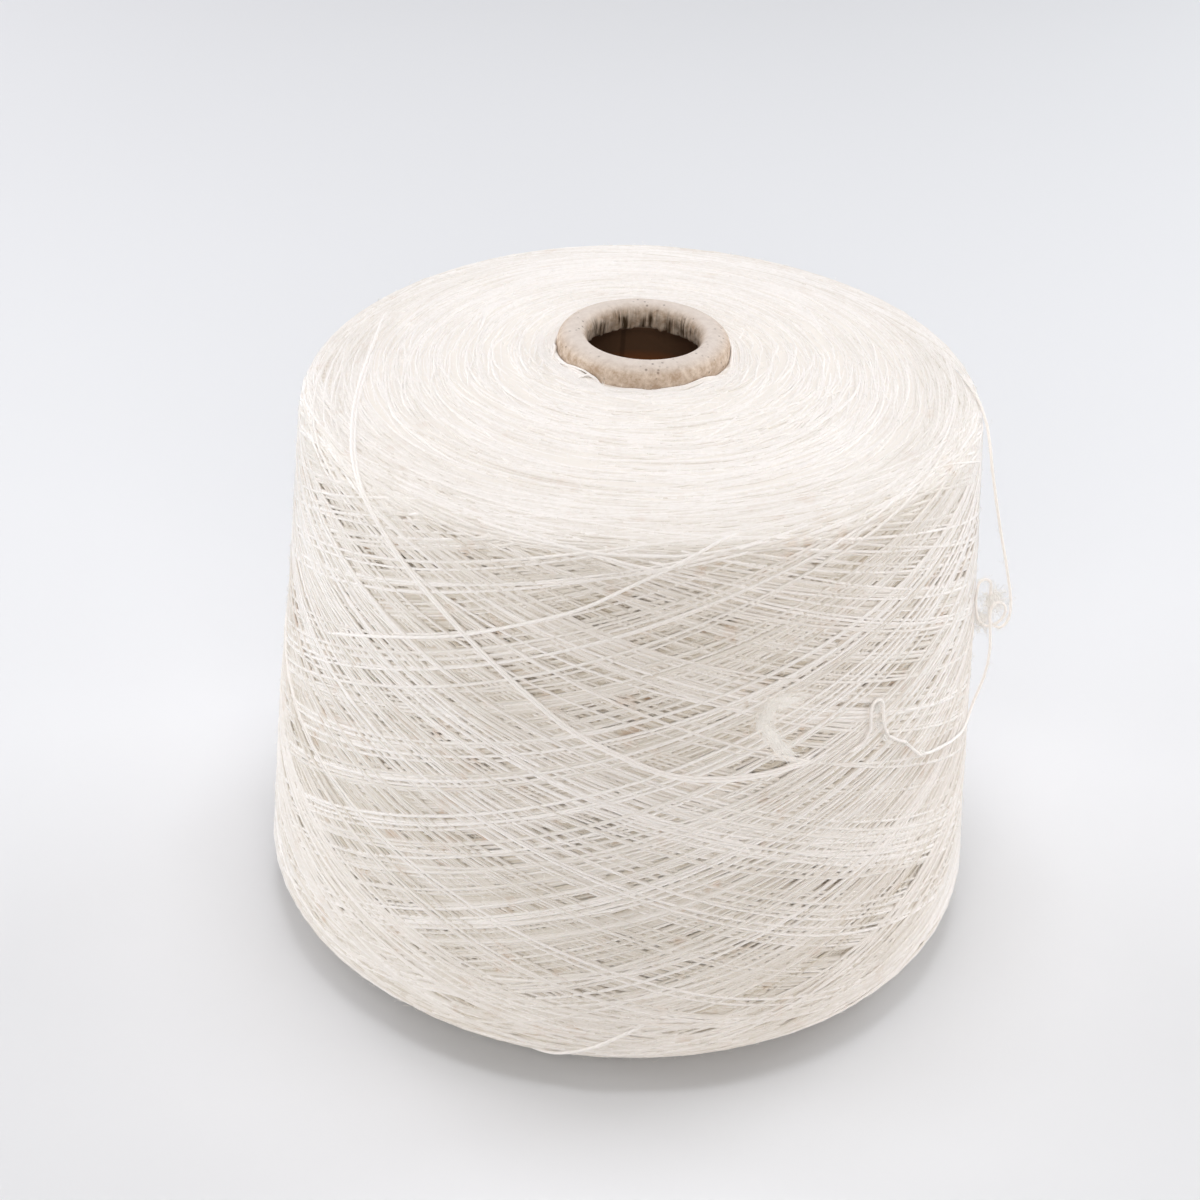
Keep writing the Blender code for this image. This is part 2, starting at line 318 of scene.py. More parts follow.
CONE_HEIGHT = 169 * MM
CONE_TAPER = math.tan(math.radians(4 + 20 / 60))
NOSE_RADIUS = 21.8 * MM
SHOULDER_ROUND = 6.4 * MM
HEEL_ROUND = 8 * MM
DOME_RISE = 7.7 * MM
DOME_POWER = 1.35
BORE_GAP = 0.3 * MM
SIDE_GROUND_DEPTH = 0.84 * MM
TOP_GROUND_DEPTH = 0.03 * MM

# the package's top end has sunk a little on its left side
SINK = 3.5 * MM
SINK_FROM = 100 * MM
SINK_POWER = 1.5


def cone_radius(height):
    """Outer radius of the paper cone's straight wall."""
    return NOSE_RADIUS + (CONE_HEIGHT - height) * CONE_TAPER


def sinking(angle, height):
    """How far the package's outside has sunk: most at its top and towards -X, and nothing on the right half."""
    share = np.clip((height - SINK_FROM) / (SHOULDER_HEIGHT - SINK_FROM), 0, 1)
    return SINK * share ** 2 * np.maximum(-np.cos(angle), 0) ** SINK_POWER


def corner(middle, across, upright, start, stop, steps):
    """Points of a round or oval corner in the section, with angles in degrees from straight out."""
    angles = np.radians(np.linspace(start, stop, steps))
    return np.stack((middle[0] + across * np.cos(angles), middle[1] + upright * np.sin(angles)), 1)


# The package's section as radius and height, from the bore's foot round the outside to the bore's top.
END_POINTS = 60
CORNER_POINTS = 14
SIDE_POINTS = 120
dome_top = SHOULDER_HEIGHT + DOME_RISE
shoulder_middle = (side_radius(SHOULDER_HEIGHT) - SHOULDER_ROUND, SHOULDER_HEIGHT - SHOULDER_ROUND)
heel_middle = (side_radius(FOOT_HEIGHT) - HEEL_ROUND, FOOT_HEIGHT + HEEL_ROUND)
foot_bore = (cone_radius(FOOT_HEIGHT) + BORE_GAP, FOOT_HEIGHT)
top_bore = cone_radius(dome_top) + BORE_GAP
dome_share = np.linspace(1, 0, END_POINTS)
dome = np.stack((
    top_bore + (shoulder_middle[0] - top_bore) * dome_share,
    SHOULDER_HEIGHT + DOME_RISE * (1 - dome_share ** DOME_POWER)), 1)
underside = np.linspace(foot_bore, (heel_middle[0], FOOT_HEIGHT), END_POINTS)
heel = corner(heel_middle, HEEL_ROUND, HEEL_ROUND, -90, 0, CORNER_POINTS)
shoulder = corner(shoulder_middle, SHOULDER_ROUND, SHOULDER_ROUND, 0, 90, CORNER_POINTS)
side = np.linspace(heel[-1], shoulder[0], SIDE_POINTS)
section = np.concatenate((underside, heel[1:], side[1:], shoulder[1:], dome[1:]))
section_steps = np.diff(section, axis=0)
section_run = np.concatenate(([0], np.cumsum(np.hypot(*section_steps.T))))
section_way = np.gradient(section, section_run, axis=0)
section_out = np.stack((section_way[:, 1], -section_way[:, 0]), 1)
HEEL_START = section_run[END_POINTS - 1]
SIDE_START = section_run[END_POINTS + CORNER_POINTS - 2]
SIDE_END = section_run[END_POINTS + CORNER_POINTS + SIDE_POINTS - 3]
DOME_END = section_run[-1]


def on_package(run, angle, depth):
    """Points on the wound package, from the run along its section, the angle round it and the depth under its skin."""
    radius, height = (np.interp(run, section_run, section[:, i]) for i in (0, 1))
    out, up = (np.interp(run, section_run, section_out[:, i]) for i in (0, 1))
    bore = cone_radius(height) + BORE_GAP
    outness = np.clip((radius - bore) / (side_radius(height) - bore), 0, 1)
    sunk = outness * sinking(angle, height)
    radius = radius + outness * out_of_round(angle, height) - depth * out
    return np.stack((radius * np.cos(angle), radius * np.sin(angle), height - depth * up - sunk), -1)


def spun_form(rows, sides):
    """A closed form spun about the object's axis from a ring of radii and heights, its faces in a fixed order."""
    shape = bmesh.new()
    rings = []
    for angle in np.arange(sides) * 2 * math.pi / sides:
        places = [(radius * math.cos(angle), radius * math.sin(angle), height) for radius, height in rows]
        rings.append([shape.verts.new(place) for place in places])
    for ring, next_ring in zip(rings, rings[1:] + rings[:1]):
        for corners in zip(ring, ring[1:] + ring[:1], next_ring[1:] + next_ring[:1], next_ring):
            shape.faces.new(corners)
    return shape


def smooth_piece(name, shape):
    """The object that a finished form becomes, smooth shaded and with its faces turned outwards."""
    bmesh.ops.recalc_face_normals(shape, faces=shape.faces)
    mesh = bpy.data.meshes.new(name)
    shape.to_mesh(mesh)
    shape.free()
    mesh.shade_smooth()
    piece = bpy.data.objects.new(name, mesh)
    bpy.context.scene.collection.objects.link(piece)
    return piece


GROUND_SIDES = 144
ground_section = np.concatenate((section[::3], section[-1:]))
ground_out = np.concatenate((section_out[::3], section_out[-1:]))
ground_depth = SIDE_GROUND_DEPTH + (TOP_GROUND_DEPTH - SIDE_GROUND_DEPTH) * np.clip(
    (ground_section[:, 1] - SHOULDER_HEIGHT + SHOULDER_ROUND) / SHOULDER_ROUND, 0, 1)
ground_rows = ground_section - ground_depth[:, None] * ground_out
ground_rows[:, 0] = np.maximum(ground_rows[:, 0], cone_radius(ground_rows[:, 1]) + BORE_GAP)
shape = spun_form(ground_rows, GROUND_SIDES)
for vertex in shape.verts:
    angle, radius = math.atan2(vertex.co.y, vertex.co.x), math.hypot(vertex.co.x, vertex.co.y)
    bore = cone_radius(vertex.co.z) + BORE_GAP
    outness = max(radius - bore, 0) / (side_radius(vertex.co.z) - bore)
    grown = 1 + outness * out_of_round(angle, vertex.co.z) / radius
    vertex.co.x *= grown
    vertex.co.y *= grown
    vertex.co.z -= outness * sinking(angle, vertex.co.z)
inner_winding = smooth_piece("inner_winding", shape)

# Pressed cotton yarn deep between the turns, painted a darker, warmer tan as painted shade for the slits, with the
# two crossing sets of turns as ridges 0.8 mm apart, darker between them as painted shade, and a few warmer, rusty tufts
# of seed fibre.
GROUND_TURNS = 248
MIDDLE_RADIUS = 92 * MM
GROUND_CLIMB = GROUND_TURNS / (MIDDLE_RADIUS * math.tan(math.radians(20)))
pressed = bpy.data.materials.new("pressed_cotton_yarn_painted_shade")
pressed.use_nodes = True
tree = pressed.node_tree
place = add_node(tree, "ShaderNodeTexCoord", {}, {}).outputs["Object"]
axes = add_node(tree, "ShaderNodeSeparateXYZ", {}, {"Vector": place}).outputs
bearing = add_node(tree, "ShaderNodeMath", {"operation": "ARCTAN2"}, {0: axes["Y"], 1: axes["X"]}).outputs[0]
ridges = []
for hand in (1, -1):
    climb = add_node(tree, "ShaderNodeMath", {"operation": "MULTIPLY", 1: hand * GROUND_CLIMB}, {0: axes["Z"]})
    phase = add_node(
        tree, "ShaderNodeMath", {"operation": "MULTIPLY_ADD", 1: float(GROUND_TURNS)},
        {0: bearing, 2: climb.outputs[0]})
    ridges.append(add_node(tree, "ShaderNodeMath", {"operation": "SINE"}, {0: phase.outputs[0]}).outputs[0])
crossing = add_node(tree, "ShaderNodeMath", {"operation": "MAXIMUM"}, {0: ridges[0], 1: ridges[1]}).outputs[0]
tufts = add_node(tree, "ShaderNodeTexNoise", {"Scale": 130.0, "Detail": 3.0}, {"Vector": place}).outputs["Fac"]
rusty = add_node(tree, "ShaderNodeMapRange", {"From Min": 0.6, "From Max": 0.72, "To Max": 0.7}, {"Value": tufts})
shaded = add_node(tree, "ShaderNodeMapRange", {"From Min": -1.0}, {"Value": crossing})
# painted shade: a darker tan than the yarn, and darker still between the ridges
tan = add_node(
    tree, "ShaderNodeMix", {"data_type": "RGBA", 6: linear("#CCBFAB"), 7: linear("#E9E0D5")}, {0: shaded.outputs[0]})
tinted = add_node(
    tree, "ShaderNodeMix", {"data_type": "RGBA", 7: linear("#C19A78")}, {0: rusty.outputs[0], 6: tan.outputs[2]})
# the domed top has no ridges, because its turns run level, and no painted shade, so it is paler
on_side = add_node(
    tree, "ShaderNodeMapRange", {"From Min": 156 * MM, "From Max": 148 * MM}, {"Value": axes["Z"]}).outputs[0]
ground_colour = add_node(
    tree, "ShaderNodeMix", {"data_type": "RGBA", 6: linear("#F3ECE4")}, {0: on_side, 7: tinted.outputs[2]})
side_ridges = add_node(tree, "ShaderNodeMath", {"operation": "MULTIPLY"}, {0: crossing, 1: on_side}).outputs[0]
bump = add_node(tree, "ShaderNodeBump", {"Strength": 0.8, "Distance": 0.3 * MM}, {"Height": side_ridges})
shader = tree.nodes["Principled BSDF"]
shader.inputs["Roughness"].default_value = 0.95
shader.inputs["Specular IOR Level"].default_value = 0.1
tree.links.new(ground_colour.outputs[2], shader.inputs["Base Color"])
tree.links.new(bump.outputs["Normal"], shader.inputs["Normal"])
inner_winding.data.materials.append(pressed)
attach(inner_winding, "root")
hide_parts("yarn_package")

# ---------------------------------------------------------------------------
# Side turns: the last layers of yarn, laid by the winder's guide as it runs up
# and down. Each stroke climbs at about 20 degrees, eases round at the shoulder
# and comes down over the earlier ones. Strokes lie side by side in bands.

LAY_STEP = 10 * MM
CROSSING_LIFT = 0.14 * MM  # how far a stroke stands over the one that it crosses
WAVE_HEIGHT = 0.07 * MM
TUCK_DEPTH = 0.9 * MM  # both ends of a route go down between its neighbours
TUCK_LENGTH = 6 * MM
# groups of strokes, how many lie side by side, their spacing, the depth of the first and the last group, and the
# yarn's thickness, all in millimetres, its shade, and its lay in degrees: the deeper layers are more even and closer,
# and their duller shade is painted shade, for lying under the others
LAYERS = (
    (32, (5, 7), (1.15, 1.3), (0.86, 0.78), (0.84, 0.96), 0.2, (19.8, 21.0)),
    (46, (4, 6), (1.15, 1.35), (0.6, 0.48), (0.76, 0.88), 0.45, (19.5, 21.3)),
    (40, (2, 6), (1.15, 1.7), (0.36, 0.26), (0.78, 0.92), 0.66, (19.0, 22.0)),
    (54, (1, 3), (1.4, 5.0), (0.18, 0.05), (0.84, 1.0), 0.86, (17.5, 23.5)),
)


def stroke(rise, lay, start_ease, end_ease):
    """One stroke of the guide: how far the yarn has run round, and how far it has climbed, easing at both ends."""
    length = (rise + start_ease + end_ease) / lay
    run = np.linspace(0, length, round(length / LAY_STEP) + 1)
    starting, ending = 2 * start_ease / lay, 2 * end_ease / lay
    climb = lay * run - start_ease
    climb = np.where(run < starting, start_ease * (run / starting) ** 2, climb)
    climb = np.where(length - run < ending, rise - end_ease * ((length - run) / ending) ** 2, climb)
    return run, climb


def up_and_down(start_angle, low, high, lay, eases, depth, chance):
    """A route that climbs from the heel, turns at the shoulder and comes back down over itself."""
    run_up, climb_up = stroke(high - low, lay, eases[0], eases[1])
    run_down, climb_down = stroke(high - low, lay, eases[1], eases[2])
    run = np.concatenate((run_up, run_up[-1] + run_down[1:]))
    along_section = np.concatenate((low + climb_up, high - climb_down[1:]))
    share = run / run[-1]
    wander = chance.uniform(0.08, 0.34) * MM * np.sin(run / chance.uniform(20, 60) / MM + chance.uniform(0, 6))
    along_section = along_section + wander
    radius = np.interp(along_section, section_run, section[:, 0])
    middle_radius = (radius[1:] + radius[:-1]) / 2
    angle = start_angle + np.concatenate(([0], np.cumsum(np.diff(run) / middle_radius)))
    sunk = TUCK_DEPTH * np.exp(-np.minimum(run, run[-1] - run) / TUCK_LENGTH)
    wave = WAVE_HEIGHT * np.sin(run / chance.uniform(12, 30) / MM + chance.uniform(0, 6))
    # the upward half lies over the downward one on the right of the package, and under it on the left
    over = CROSSING_LIFT * np.cos(math.pi * share) * np.cos(angle)
    return on_package(along_section, angle, depth - over + sunk + wave)


chance = np.random.default_rng(2604)
side_routes, side_shades, side_thicknesses = [], [], []
for groups, sizes, spacings, (first_depth, last_depth), thicknesses, layer_painted_shade, lays in LAYERS:
    for group, place_round in enumerate(chance.permutation(groups)):
        depth = (first_depth + (last_depth - first_depth) * group / (groups - 1)) * MM
        start_angle = (place_round + chance.uniform(-0.18, 0.18)) * 2 * math.pi / groups
        lay = math.tan(math.radians(chance.uniform(*lays)))
        eases = np.array([chance.uniform(12, 34), chance.uniform(12, 28), chance.uniform(12, 34)]) * MM
        low = SIDE_START + chance.uniform(-9, 8) * MM
        high = SIDE_END + chance.uniform(6, 20) * MM
        group_shade = layer_painted_shade + chance.uniform(-0.02, 0.02)
        spacing = chance.uniform(*spacings)
        for _ in range(chance.integers(*sizes)):
            start_angle += spacing * chance.uniform(0.8, 1.25) * MM / lay / MIDDLE_RADIUS
            jitter = chance.normal(0, 1, 3)
            side_routes.append(up_and_down(
                start_angle, low + 0.5 * MM * jitter[0], high + 0.8 * MM * jitter[1], lay * (1 + 0.006 * jitter[2]),
                eases, depth + 0.08 * MM * chance.uniform(-1, 1), chance))
            # the layer's shade is painted shade: the deeper a layer lies, the duller its yarn
            side_shades.append(np.clip(group_shade + chance.normal(0, 0.15), 0, 1))
            side_thicknesses.append(chance.uniform(*thicknesses) * MM)

LAYER_SPLIT = 5
for number in range(LAYER_SPLIT):
    chosen = slice(number * len(side_routes) // LAYER_SPLIT, (number + 1) * len(side_routes) // LAYER_SPLIT)
    turns = laid_yarn(
        f"side_turns_{number + 1}", side_routes[chosen], np.array(side_thicknesses[chosen]), side_shades[chosen])
    turns.data.materials.append(cotton)
    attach(turns, "root")

# ---------------------------------------------------------------------------
# Top turns: where the strokes turn back, layer on layer, they make the domed end.
# Only their nearly level arcs show, each coming up from under the next ones and
# going down again, so that short dark dashes are left between them.

ARC_STEP = math.radians(4.5)
ARC_DIP = 1.1 * MM


def end_arcs(first, last, count, sweeps, lean_size, depths, chance):
    """Nearly level arcs that cover the package's end between two runs of its section, the same in any part of it."""
    runs = np.linspace(first, last, 200)
    weights = np.interp(runs, section_run, section[:, 0])
    totals = np.cumsum(weights) / weights.sum()
    routes = []
    for number in range(count):
        start_run = np.interp(chance.uniform(), totals, runs)
        sweep = chance.uniform(*sweeps) * 2 * math.pi
        lean = chance.normal(0, lean_size) * MM
        share = np.linspace(0, 1, max(round(sweep / ARC_STEP), 6) + 1)
        angle = chance.uniform(0, 2 * math.pi) + sweep * share
        bow = chance.normal(0, 0.8) * MM * np.sin(math.pi * share)
        waver = chance.uniform(0.05, 0.4) * MM * np.sin(angle * chance.uniform(6, 24) + chance.uniform(0, 6))
        run = np.clip(start_run + lean * (share - 0.5) + bow + waver, first, last)
        depth = chance.uniform(*depths) * MM + ARC_DIP * np.abs(2 * share - 1) ** 5
        routes.append(on_package(run, angle, depth))
    return routes


TOP_ARCS = 2500
TOP_SPLIT = 3
chance = np.random.default_rng(1731)
top_routes = end_arcs(SIDE_END + 4 * MM, DOME_END - 0.4 * MM, TOP_ARCS, (0.05, 0.21), 3.5, (0.04, 0.4), chance)
# the outer turns, towards the shoulder, are painted duller, as painted shade for the greyer slits between them there
outer = np.interp([np.hypot(*route[0, :2]) for route in top_routes], (60 * MM, 84 * MM), (0, 1))
top_shades = np.clip(chance.normal(0.9, 0.12, TOP_ARCS) - 0.16 * outer, 0, 1)
top_thicknesses = chance.uniform(0.72, 0.95, TOP_ARCS) * MM
for number in range(TOP_SPLIT):
    chosen = slice(number * TOP_ARCS // TOP_SPLIT, (number + 1) * TOP_ARCS // TOP_SPLIT)
    turns = laid_yarn(f"top_turns_{number + 1}", top_routes[chosen], top_thicknesses[chosen], top_shades[chosen])
    turns.data.materials.append(cotton)
    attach(turns, "root")

# The turns against the paper cone are piled up unevenly: how far out the pile's crown lies, in
# millimetres, at each angle round the nose. Where it lies far out, the board shows further down.
NOSE_BORDER = (
    (-180.0, 22.8), (-167.4, 22.6), (-145.1, 22.0), (-133.8, 21.6), (-117.5, 22.9), (-110.6, 24.2), (-102.0, 23.3),
    (-88.8, 24.0), (-75.7, 22.8), (-61.6, 22.7), (-48.2, 21.8), (-38.0, 22.6), (-29.2, 24.2), (-13.5, 22.8),
    (0.0, 22.3), (60.0, 22.8), (110.0, 22.4), (150.0, 23.0), (180.0, 22.8),
)
NOSE_TURNS = 120
NOSE_ARC_STEP = math.radians(5)
NOSE_ARC_DIP = 0.9 * MM
PILE_EDGE = 22.9 * MM  # a crown that lies further in than this is piled up against the board
PILE_WIDTH = 1.5 * MM
chance = np.random.default_rng(460)
border_angles, border_radii = np.array(NOSE_BORDER).T
nose_routes = []
for number in range(NOSE_TURNS):
    sweep = chance.uniform(0.08, 0.4) * 2 * math.pi
    share = np.linspace(0, 1, round(sweep / NOSE_ARC_STEP) + 1)
    angle = chance.uniform(-math.pi, math.pi) + sweep * share
    turned = (np.degrees(angle) + 180) % 360 - 180
    crown = np.interp(turned, border_angles, border_radii) * MM
    piled = np.maximum(PILE_EDGE - crown, 0)
    out = chance.uniform(0, 1) ** 1.3 * 4.5 * MM
    out = out + chance.normal(0, 0.2) * MM * np.sin(4 * angle + chance.uniform(0, 6))
    radius = np.maximum(crown + out, cone_radius(dome_top) + 0.45 * MM)
    height = dome_top - (radius - 22 * MM) * 0.12 + piled * 0.9 * np.exp(-out / PILE_WIDTH) + 0.1 * MM
    height = height - NOSE_ARC_DIP * np.abs(2 * share - 1) ** 5
    nose_routes.append(np.stack((radius * np.cos(angle), radius * np.sin(angle), height), 1))
# a few turns have slipped up the board in short loops: each an angle, a radius and a height
NOSE_LOOPS = (
    ((-156.0, 23.8, 163.6), (-147.0, 22.8, 164.4), (-136.0, 22.5, 165.2), (-128.5, 22.5, 165.3), (-122.5, 22.6, 164.6),
     (-118.5, 23.6, 163.4)),
    ((-131.0, 24.2, 163.8), (-126.0, 23.0, 164.9), (-121.5, 22.7, 164.8), (-117.8, 22.8, 163.9), (-114.0, 24.0, 163.2)),
    ((-176.0, 22.9, 164.6), (-170.0, 22.7, 165.0), (-166.0, 23.2, 164.2), (-160.0, 24.3, 163.7)),
    ((-62.0, 24.0, 163.5), (-55.0, 22.8, 164.1), (-46.0, 22.6, 164.3), (-38.0, 23.2, 163.6), (-30.0, 24.6, 163.2)),
)
for rows in NOSE_LOOPS:
    turned, radius, height = np.array(rows).T
    turned = np.radians(turned)
    nose_routes.append(smooth_route(MM * np.stack((radius * np.cos(turned), radius * np.sin(turned), height), 1), 4))
nose_turns = laid_yarn(
    "nose_turns", nose_routes, chance.uniform(0.6, 0.85, len(nose_routes)) * MM,
    np.clip(chance.normal(0.9, 0.08, len(nose_routes)), 0, 1))
nose_turns.data.materials.append(cotton)
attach(nose_turns, "root")

# ---------------------------------------------------------------------------
# Foot turns: the same nearly level arcs make the package's flat lower end, round
# the heel to the paper cone, a few millimetres clear of what the cone stands on.

FOOT_ARCS = 250
chance = np.random.default_rng(907)
foot_routes = end_arcs(0.6 * MM, SIDE_START + 3 * MM, FOOT_ARCS, (0.2, 0.6), 2.5, (0.3, 0.9), chance)
foot_shades = np.clip(chance.normal(0.6, 0.2, FOOT_ARCS), 0, 1)
foot_turns = laid_yarn("foot_turns", foot_routes, chance.uniform(0.7, 0.9, FOOT_ARCS) * MM, foot_shades)
foot_turns.data.materials.append(cotton)
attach(foot_turns, "root")

# ---------------------------------------------------------------------------
# Stray wraps: a few turns that slipped off their lay and lie slack across the
# front, over all the others. The thickest is two yarns together for most of its
# way, and runs on to where the loose end goes under.

# angle round the axis in degrees, and how far past the shoulder's foot along the section in millimetres
STRAY_WRAP = (
    (-216.4, 9.1), (-207.3, 13.6), (-192.3, 19.5), (-178.9, 20.3), (-166.4, 17.7), (-154.3, 12.7), (-143.8, 6.4),
    (-138.5, 2.1), (-134.4, -2.7), (-129.1, -9.1), (-120.1, -18.5), (-111.9, -27.7), (-104.7, -35.9), (-97.4, -44.2),
    (-90.2, -49.8), (-82.7, -55.0), (-73.9, -57.2), (-66.0, -57.4), (-56.3, -56.0), (-49.8, -55.5),
)
SECOND_WRAP = (
    (-68.4, 11.4), (-74.7, 8.2), (-80.6, 4.1), (-89.7, -3.2), (-96.8, -9.9), (-105.3, -15.9), (-117.2, -24.4),
    (-128.9, -31.8), (-141.6, -40.8), (-156.1, -52.3),
)
SHOULDER_WRAP = (
    (-40.0, 14.0), (-34.0, 10.5), (-30.8, 8.0), (-26.9, 6.5), (-21.3, 3.0), (-14.0, -2.0), (-5.0, -9.0), (6.0, -17.0),
)
HEEL_WRAP = ((-104.0, -140.5), (-98.8, -141.4), (-95.5, -138.4), (-91.0, -134.5), (-88.0, -131.4), (-82.0, -126.0))


def slack_turn(rows, offset, off):
    """A smooth route through rows of an angle and a run, offset along the section and standing off the skin."""
    angle, run = np.array(rows).T
    ends = np.abs(2 * np.linspace(0, 1, len(rows)) - 1) ** 8
    return smooth_route(on_package(SIDE_END + (run + offset) * MM, np.radians(angle), (ends * 1.2 - off) * MM), 5)


wrap_routes = [
    slack_turn(STRAY_WRAP, 0, 0.2), slack_turn(STRAY_WRAP, 0.8, 0.12)[12:-6], slack_turn(SECOND_WRAP, 0, 0.2),
    slack_turn(SHOULDER_WRAP, 0, 0.05), slack_turn(HEEL_WRAP, 0, 0.3)]
stray_wraps = laid_yarn(
    "stray_wraps", wrap_routes, np.array([1.0, 0.8, 0.9, 0.6, 1.0]) * MM, [1.05, 1, 1, 0.9, 1.05], 1)
stray_wraps.data.materials.append(cotton)
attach(stray_wraps, "root")

# ---------------------------------------------------------------------------
# Fuzz: the fine fibre ends that stand off any spun yarn, and one wisp of fibre
# that has rolled up and clings to the front.

FUZZ_COUNT = 14000
FUZZ_REACH = 2.4 * MM
FUZZ_THICKNESS = 0.11 * MM  # about five times as thick as a real fibre, so that it shows
chance = np.random.default_rng(55)
fuzz_run = chance.uniform(HEEL_START, DOME_END, FUZZ_COUNT)
fuzz_angle = chance.uniform(0, 2 * math.pi, FUZZ_COUNT)
fuzz_start = on_package(fuzz_run, fuzz_angle, np.full(FUZZ_COUNT, 0.1 * MM))
fuzz_out = on_package(fuzz_run, fuzz_angle, np.full(FUZZ_COUNT, -0.9 * MM)) - fuzz_start
fuzz_out /= np.linalg.norm(fuzz_out, axis=1)[:, None]
fuzz_routes = fibres(fuzz_start, fuzz_out, FUZZ_REACH, 0.6, chance)
fuzz = laid_yarn("fibre_fuzz", fuzz_routes, FUZZ_THICKNESS, np.full(FUZZ_COUNT, 1.0))
fuzz.data.materials.append(fibre)
fuzz.visible_shadow = False
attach(fuzz, "root")

# The wisp: carded fibre that has come off the yarn and rolled into a soft, bent strip 4 mm wide.
WISP = (
    (-60.6, -38.0), (-64.2, -37.2), (-66.9, -37.2), (-67.9, -39.6), (-68.6, -42.5), (-67.5, -44.5), (-66.1, -48.5),
    (-64.2, -51.8), (-62.6, -55.0),
)
WISP_FIBRES = 640
WISP_THICKNESS = 0.14 * MM
wisp_line = slack_turn(WISP, 0, 0.5)
wisp_routes = []
for _ in range(WISP_FIBRES):
    first = chance.integers(0, len(wisp_line) - 7)
    piece = wisp_line[first:first + chance.integers(5, 9)]
    drift = chance.normal(0, 1.0, 3) + np.linspace(0, 1, len(piece))[:, None] * chance.normal(0, 0.9, 3)
    wisp_routes.append(piece + drift * MM * (1, 0.4, 1))
wisp = laid_yarn("fibre_wisp", wisp_routes, WISP_THICKNESS, np.full(len(wisp_routes), 1.1))
wisp.data.materials.append(fibre)
wisp.visible_shadow = False
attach(wisp, "root")

# ---------------------------------------------------------------------------
# Paper cone: grey-brown recycled board, wound and glued to a taper, with its nose
# rolled in over itself. Its raw edge inside the nose is puckered, since the roll
# is smaller round than the wall that it is made from.

CONE_WALL = 3 * MM
CREST_RADIUS = 17.1 * MM
MOUTH_RADIUS = 14.4 * MM
CURL_HEIGHT = 3.7 * MM
CURL_SKIRT = 2.6 * MM
CURL_LEDGE = 3 * MM
ROLL_FULLNESS = 0.86
PUCKER_DEPTH = 0.28 * MM
PUCKER_REACH = 2.5 * MM
RAW_EDGE_WAVE = 0.5 * MM
CONE_SIDES = 192
curl_middle = (CREST_RADIUS, CONE_HEIGHT - CURL_HEIGHT)
skirt_end = curl_middle[1] - CURL_SKIRT
ledge_end = skirt_end - CURL_LEDGE
outer_curl = corner(curl_middle, cone_radius(curl_middle[1]) - CREST_RADIUS, CURL_HEIGHT, 0, 90, 10)
roll_size = np.array((cone_radius(curl_middle[1]) - CREST_RADIUS, CURL_HEIGHT))
outer_curl = curl_middle + roll_size * ((outer_curl - curl_middle) / roll_size).clip(0) ** ROLL_FULLNESS
inner_curl = corner(curl_middle, CREST_RADIUS - MOUTH_RADIUS, CURL_HEIGHT, 90, 180, 10)
curl = np.concatenate((outer_curl, inner_curl[1:]))
skirt = np.linspace(curl[-1], (curl[-1][0] + 0.3 * MM, skirt_end), 9)[1:]
inside = np.linspace((cone_radius(ledge_end) - CONE_WALL, ledge_end), (cone_radius(0) - CONE_WALL, 0), 30)
outside = np.linspace((cone_radius(0), 0), curl[0], 30)[:-1]
rows = np.concatenate((outside, curl, skirt, inside))
shape = spun_form(rows, CONE_SIDES)
chance = np.random.default_rng(88)
pucker_waves = [(int(chance.integers(9, 60)), chance.uniform(0, 6.3), chance.uniform(0.4, 1)) for _ in range(9)]
for vertex in shape.verts:
    angle, radius = math.atan2(vertex.co.y, vertex.co.x), math.hypot(vertex.co.x, vertex.co.y)
    in_skirt = radius < curl[-1][0] + 1.0 * MM and vertex.co.z > skirt_end - 0.1 * MM
    lowness = (curl_middle[1] + PUCKER_REACH - vertex.co.z) / (CURL_SKIRT + PUCKER_REACH)
    lowness = min(max(lowness, 0), 1) if in_skirt else 0
    wave = sum(size * math.sin(count * angle + phase) for count, phase, size in pucker_waves) / 3
    grown = 1 + (lowness ** 1.5 * PUCKER_DEPTH * wave) / radius
    vertex.co.x *= grown
    vertex.co.y *= grown
    vertex.co.z += lowness ** 4 * RAW_EDGE_WAVE * math.sin(5 * angle + 2 * wave)
rolled_cone = smooth_piece("rolled_paper_cone", shape)

# Recycled paper board: matt and grey-beige, with mottled pulp and a few dark specks of old print. Its crest is painted
# lighter as a painted highlight, and the puckers of the rolled edge carry dark streaks of painted shade. Inside the
# cone it is painted a darker brown as painted shade, warmer and lighter lower down as painted bounce light, with the
# seam where the board laps over itself.
SEAM_BEARING = math.radians(106)
board = bpy.data.materials.new("recycled_paper_board")
board.use_nodes = True
tree = board.node_tree
place = add_node(tree, "ShaderNodeTexCoord", {}, {}).outputs["Object"]
axes = add_node(tree, "ShaderNodeSeparateXYZ", {}, {"Vector": place}).outputs
bearing = add_node(tree, "ShaderNodeMath", {"operation": "ARCTAN2"}, {0: axes["Y"], 1: axes["X"]}).outputs[0]
flat_radius = add_node(tree, "ShaderNodeVectorMath", {"operation": "MULTIPLY", 1: (1, 1, 0)}, {0: place})
flat_radius = add_node(
    tree, "ShaderNodeVectorMath", {"operation": "LENGTH"}, {0: flat_radius.outputs[0]}).outputs["Value"]
pulp = add_node(
    tree, "ShaderNodeTexNoise", {"Scale": 520.0, "Detail": 5.0, "Roughness": 0.7}, {"Vector": place}).outputs["Fac"]
mottled = add_node(tree, "ShaderNodeMapRange", {"From Min": 0.34, "From Max": 0.64}, {"Value": pulp}).outputs[0]
pulp_colour = add_node(
    tree, "ShaderNodeMix", {"data_type": "RGBA", 6: linear("#B39A83"), 7: linear("#DDCCBB")}, {0: mottled})
